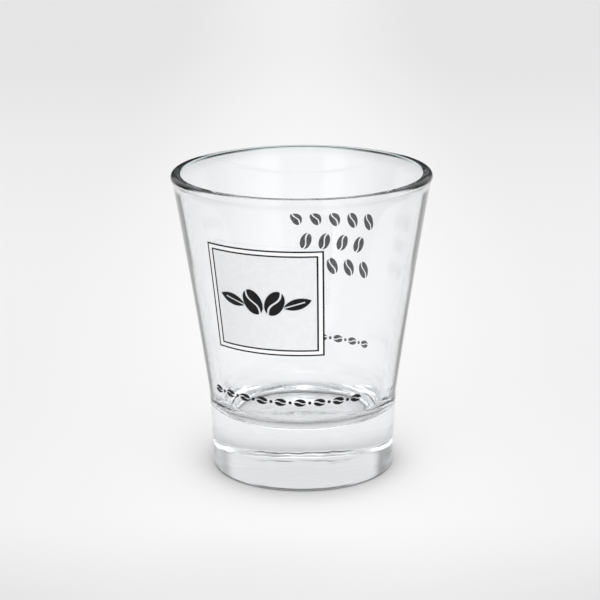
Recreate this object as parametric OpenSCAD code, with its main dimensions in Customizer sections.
// Small flared coffee glass: one pressed clear-glass body with a heavy foot,
// and the fired enamel films of its print, each a thin solid seated on the wall.
// Millimetres, +Z up, origin in the middle of the face it stands on, front towards -Y.

/* [Glass body] */
// Outer diameter across the lip
rim_d = 64; // [60:0.5:72]
// Overall height
glass_h = 75; // [70:0.2:84]
// Wall thickness at the lip
wall_t = 2.2; // [2:0.1:3]
// Extra wall thickness gained from the lip down to the floor
wall_gain = 0.9; // [0:0.1:1.6]
// How far the wall bows in from a straight cone at mid-height, which flares it
wall_bow = 0.25; // [0:0.05:0.8]
// How far the fire-polished lip stands proud of the wall
lip_proud = 0.3; // [0.1:0.05:0.5]
// Height over which the wall swells into the lip
lip_swell_h = 2.5; // [2.5:0.5:6]
// Radius of the lip's outer corner
lip_outer_r = 1; // [0.6:0.1:1.2]
// Radius of the lip's inner corner
lip_inner_r = 0.5; // [0.3:0.1:0.8]

/* [Foot] */
// Diameter of the foot's upper edge, which is also the waist
foot_top_d = 46.7; // [44:0.1:50]
// Diameter of the foot at the table, before its edge is rounded
foot_base_d = 45; // [42:0.1:46]
// Height of the foot
foot_h = 17.4; // [14:0.2:19]
// Height of the upright band between the foot and the flared wall
band_h = 1.7; // [1:0.1:2.5]
// Radius of the foot's lower edge
heel_r = 1.3; // [0.4:0.1:2]

/* [Inside] */
// Height of the floor that the drink stands on
floor_z = 14.6; // [12:0.2:18]
// Radius between the floor and the inner wall
floor_r = 6; // [3:0.25:8]

/* [Underside] */
// Width of the flat ring that stands on the table
rest_ring_w = 3.6; // [2:0.2:6]
// Depth of the shallow dome pressed into the underside
punt_depth = 0.3; // [0.2:0.1:1.6]

/* [Enamel films] */
// Thickness of one fired film
film_t = 0.08; // [0.06:0.01:0.15]
// Clearance under each film
seat_gap = 0.02; // [0.01:0.01:0.05]

/* [Front panel] */
// Angle of the panel's middle from the front, positive towards +X
panel_angle = -19.3; // [-60:0.1:60]
// Distance from the top of the glass down to the panel's upper edge
panel_drop = 12.6; // [9:0.1:18]
// Distance from the waist up to the panel's lower edge
panel_rise = 16.6; // [12:0.1:22]
// Width of the panel's upper edge, seen straight on
panel_top_w = 29; // [22:0.1:34]
// Width of the panel's lower edge, seen straight on
panel_base_w = 26.5; // [20:0.1:30]
// Width of the two frame lines
frame_line_w = 0.36; // [0.25:0.01:0.6]
// Distance from the outer frame line to the inner one
frame_pitch = 1.2; // [0.9:0.1:2]

/* [Sprig on the panel] */
// Length of a bean
sprig_bean_l = 6.6; // [4:0.1:8]
// Width of a bean
sprig_bean_w = 4.5; // [3:0.1:6]
// Sideways distance from the middle to each bean
sprig_bean_x = 2.7; // [2.4:0.1:4]
// Tilt of the beans' long axis from level
sprig_bean_angle = 62; // [30:1:90]
// Length of a leaf
leaf_l = 6.8; // [4:0.1:8]
// Width of a leaf
leaf_w = 2.7; // [1.5:0.1:4]
// Sideways distance from the middle to each leaf
leaf_x = 8; // [7:0.1:9]
// Tilt of the leaves from level
leaf_angle = 18; // [0:1:40]
// Width of the vein in a leaf
vein_w = 0.35; // [0.25:0.01:0.6]
// Width of the crease in a bean
crease_w = 0.5; // [0.3:0.01:0.8]

/* [Bean rows round the wall] */
// Length of a bean in a row, along the row
row_bean_l = 2.9; // [2:0.1:3.6]
// Width of a bean in a row
row_bean_w = 1.9; // [1.2:0.1:2.4]
// Width of the crease in a row bean
row_crease_w = 0.3; // [0.2:0.01:0.4]
// Diameter of the dots between the beans
row_dot_d = 0.8; // [0.5:0.05:1]
// Beans in a row
row_beans = 9; // [3:1:9]
// Angle from one bean of a row to the next
row_step_angle = 11.3; // [11:0.1:14]
// Angle of the front row's middle from the front
front_row_angle = -13; // [-60:1:60]
// Distance from the waist up to the middle of the front row
front_row_rise = 4.3; // [2:0.1:7]
// Angle of the back row's middle from the front
back_row_angle = 178; // [120:1:240]
// Distance from the waist up to the middle of the back row
back_row_rise = 6.2; // [2:0.1:10]

/* [Bean block on the back] */
// Length of a bean in the block
block_bean_l = 4.4; // [3:0.1:5]
// Width of a bean in the block
block_bean_w = 3; // [2:0.1:3.6]
// Width of the crease in a block bean
block_crease_w = 0.4; // [0.3:0.01:0.6]
// Tilt of the block's beans from level
block_bean_angle = 66; // [40:1:90]
// Angle of the block's middle from the front
block_angle = 162; // [120:0.1:240]
// Distance from the top of the glass down to the middle of the first row
block_drop = 18.1; // [12:0.1:20]
// Distance from row to row
block_pitch = 6.3; // [5.4:0.1:7]
// Angle from bean to bean in a row
block_step_angle = 10.6; // [9.5:0.1:13]
// Rows in the block
block_rows = 3; // [1:1:3]
// Beans in the block's full rows; the rows between hold one fewer
block_beans = 5; // [2:1:5]

/* [Hidden] */
$fn = 96;

// Shares and counts that set how finely curves are drawn
wall_steps = 8;
panel_steps = 3;
row_steps = 1;
lip_steps = 7;
floor_steps = 8;
heel_steps = 4;
punt_steps = 6;
bean_sides = 24;
crease_steps = 12;
// Wave of a bean's crease, as a share of the bean's width
crease_wave_share = 0.13;
// Length of the crease and of the vein, as shares of the bean and the leaf
crease_reach_share = 1.1;
vein_reach_share = 0.78;

// Lip, waist and wall
rim_r = rim_d / 2;
lip_t = wall_t + lip_proud;
lip_outer_c = [rim_r - lip_outer_r, glass_h - lip_outer_r];
lip_inner_c = [rim_r - lip_t + lip_inner_r, glass_h - lip_inner_r];
waist_r = foot_top_d / 2;
waist_z = foot_h + band_h;
wall_top_r = rim_r - lip_proud;
wall_top_z = glass_h - lip_t / 2;
wall_lean = atan((wall_top_r - waist_r) / (wall_top_z - waist_z));

// Radius of the outer wall at a height: a straight cone, drawn in by the bow
function wall_share(z) = (z - waist_z) / (wall_top_z - waist_z);
function wall_r(z) =
    let (s = wall_share(z))
    waist_r + (wall_top_r - waist_r) * s - 4 * wall_bow * s * (1 - s);

// Points along an arc, from one angle to another
function arc(c, r, a0, a1, steps) =
    [for (i = [0 : steps]) let (a = a0 + (a1 - a0) * i / steps) c + r * [cos(a), sin(a)]];

// Points that round off the corner p between the neighbours a and b
function turned_corner(a, p, b, r, steps) =
    let (
        u = (a - p) / norm(a - p),
        v = (b - p) / norm(b - p),
        half = acos(u * v) / 2,
        c = p + (u + v) / norm(u + v) * r / sin(half),
        t0 = p + u * r / tan(half) - c,
        t1 = p + v * r / tan(half) - c,
        a0 = atan2(t0[1], t0[0]),
        swing = atan2(t1[1], t1[0]) - a0,
        turn = swing > 180 ? swing - 360 : swing < -180 ? swing + 360 : swing
    )
    arc(c, r, a0, a0 + turn, steps);

// Corners of the revolved outline that the arcs join
heel = [foot_base_d / 2, 0];
foot_edge = [waist_r, foot_h];
rest_inner = [foot_base_d / 2 - heel_r - rest_ring_w, 0];
swell_z = glass_h - lip_swell_h;
swell_start = [wall_r(swell_z), swell_z];
lip_gap = swell_start - lip_outer_c;
lip_outer_a = atan2(lip_gap[1], lip_gap[0]) + acos(lip_outer_r / norm(lip_gap));
lip_inner_arc = arc(lip_inner_c, lip_inner_r, 90, 180 - wall_lean, lip_steps);
floor_edge = [wall_r(floor_z) - wall_t - wall_gain, floor_z];
floor_mid = [0, floor_z];

// Shallow dome under the base: an arc through its crown and the inner edge of the resting ring
punt_r = (rest_inner[0] * rest_inner[0] + punt_depth * punt_depth) / (2 * punt_depth);
punt_half_a = asin(rest_inner[0] / punt_r);
punt_arc = arc([0, punt_depth - punt_r], punt_r, 90, 90 - punt_half_a, punt_steps);

wall_points = [for (i = [0 : wall_steps])
    let (z = waist_z + (swell_z - waist_z) * i / wall_steps) [wall_r(z), z]];

body_outline = concat(
    punt_arc,
    turned_corner(rest_inner, heel, foot_edge, heel_r, heel_steps),
    [foot_edge],
    wall_points,
    arc(lip_outer_c, lip_outer_r, lip_outer_a, 90, lip_steps),
    lip_inner_arc,
    turned_corner(lip_inner_arc[lip_steps], floor_edge, floor_mid, floor_r, floor_steps),
    [floor_mid]
);

// Thin ring that follows the wall between two heights; layer 0 lies on the glass
module film_ring(z0, z1, layer, steps) {
    lift = seat_gap + layer * (film_t + seat_gap);
    heights = [for (i = [0 : steps]) z0 + (z1 - z0) * i / steps];
    rotate_extrude()
        polygon(concat(
            [for (z = heights) [wall_r(z) + lift, z]],
            [for (i = [steps : -1 : 0]) [wall_r(heights[i]) + lift + film_t, heights[i]]]
        ));
}

// Film on the wall with the flat outline given as children, facing out at an angle and a height
module film(angle, z, reach, layer, steps) {
    intersection() {
        film_ring(z - reach, z + reach, layer, steps);
        rotate([0, 0, angle])
            translate([0, 0, z])
                rotate([90, 0, 0])
                    linear_extrude(rim_d)
                        children();
    }
}

// Point on a bean's wavy crease, t running from 0 to 1 along it
function crease_point(t, l, w, side) =
    [(t - 1 / 2) * l * crease_reach_share, crease_wave_share * w * sin(360 * t) + side];

// Coffee bean seen from above, long axis along X, parted by its crease
module bean(l, w, crease) {
    difference() {
        polygon([for (i = [0 : bean_sides - 1])
            let (a = 360 * i / bean_sides) [l / 2 * cos(a), w / 2 * sin(a)]]);
        polygon(concat(
            [for (i = [0 : crease_steps]) crease_point(i / crease_steps, l, w, crease / 2)],
            [for (i = [crease_steps : -1 : 0]) crease_point(i / crease_steps, l, w, -crease / 2)]
        ));
    }
}

// Pointed leaf along X between two arcs, with a vein that starts at its stem
module leaf(l, w, vein) {
    arc_r = (l * l + w * w) / (4 * w);
    difference() {
        intersection() {
            translate([0, arc_r - w / 2])
                circle(arc_r);
            translate([0, w / 2 - arc_r])
                circle(arc_r);
        }
        translate([-l / 2, -vein / 2])
            square([l * vein_reach_share, vein]);
    }
}

// Panel outline drawn in by an inset on all four sides
panel_h = glass_h - panel_drop - waist_z - panel_rise;
panel_z = waist_z + panel_rise + panel_h / 2;
function panel_half_w(y) =
    panel_base_w / 4 + panel_top_w / 4 + (panel_top_w - panel_base_w) / 2 * y / panel_h;

module panel_outline(inset) {
    y = panel_h / 2 - inset;
    polygon([
        [-(panel_half_w(-y) - inset), -y],
        [panel_half_w(-y) - inset, -y],
        [panel_half_w(y) - inset, y],
        [-(panel_half_w(y) - inset), y]
    ]);
}

// Band of the panel between two insets
module panel_band(outer, inner) {
    difference() {
        panel_outline(outer);
        panel_outline(inner);
    }
}

// Row of beans with a dot between each two
module bean_row(angle, rise) {
    z = waist_z + rise;
    first = angle - row_step_angle * (row_beans - 1) / 2;
    for (i = [0 : row_beans - 1])
        film(first + i * row_step_angle, z, row_bean_w, 0, row_steps)
            bean(row_bean_l, row_bean_w, row_crease_w);
    for (i = [0 : row_beans - 2])
        film(first + (i + 1 / 2) * row_step_angle, z, row_bean_w, 0, row_steps)
            circle(d = row_dot_d);
}

module glass_body() {
    color([0.86, 0.9, 0.92, 0.45])
        rotate_extrude()
            polygon(body_outline);
}

module outer_frame_line() {
    color([0.08, 0.08, 0.09])
        film(panel_angle, panel_z, panel_h / 2, 0, panel_steps)
            panel_band(0, frame_line_w);
}

module white_border() {
    color("white")
        film(panel_angle, panel_z, panel_h / 2, 0, panel_steps)
            panel_band(frame_line_w + seat_gap, frame_pitch - seat_gap);
}

module inner_frame_line() {
    color([0.08, 0.08, 0.09])
        film(panel_angle, panel_z, panel_h / 2, 0, panel_steps)
            panel_band(frame_pitch, frame_pitch + frame_line_w);
}

module grey_field() {
    color([0.86, 0.86, 0.87])
        film(panel_angle, panel_z, panel_h / 2, 0, panel_steps)
            panel_outline(frame_pitch + frame_line_w + seat_gap);
}

module bean_sprig() {
    color([0.08, 0.08, 0.09])
        film(panel_angle, panel_z, panel_h / 2, 1, panel_steps)
            for (side = [0, 1])
                mirror([side, 0]) {
                    translate([sprig_bean_x, 0])
                        rotate(sprig_bean_angle)
                            bean(sprig_bean_l, sprig_bean_w, crease_w);
                    translate([leaf_x, 0])
                        rotate(leaf_angle)
                            leaf(leaf_l, leaf_w, vein_w);
                }
}

module front_bean_row() {
    color([0.08, 0.08, 0.09])
        bean_row(front_row_angle, front_row_rise);
}

module back_bean_block() {
    color([0.08, 0.08, 0.09])
        for (row = [0 : block_rows - 1]) {
            count = block_beans - row % 2;
            tilt = row % 2 == 0 ? block_bean_angle : -block_bean_angle;
            for (i = [0 : count - 1])
                film(block_angle + (i - (count - 1) / 2) * block_step_angle,
                     glass_h - block_drop - row * block_pitch, block_bean_l, 0, row_steps)
                    rotate(tilt)
                        bean(block_bean_l, block_bean_w, block_crease_w);
        }
}

module back_bean_row() {
    color([0.08, 0.08, 0.09])
        bean_row(back_row_angle, back_row_rise);
}

glass_body();
outer_frame_line();
white_border();
inner_frame_line();
grey_field();
bean_sprig();
front_bean_row();
back_bean_block();
back_bean_row();
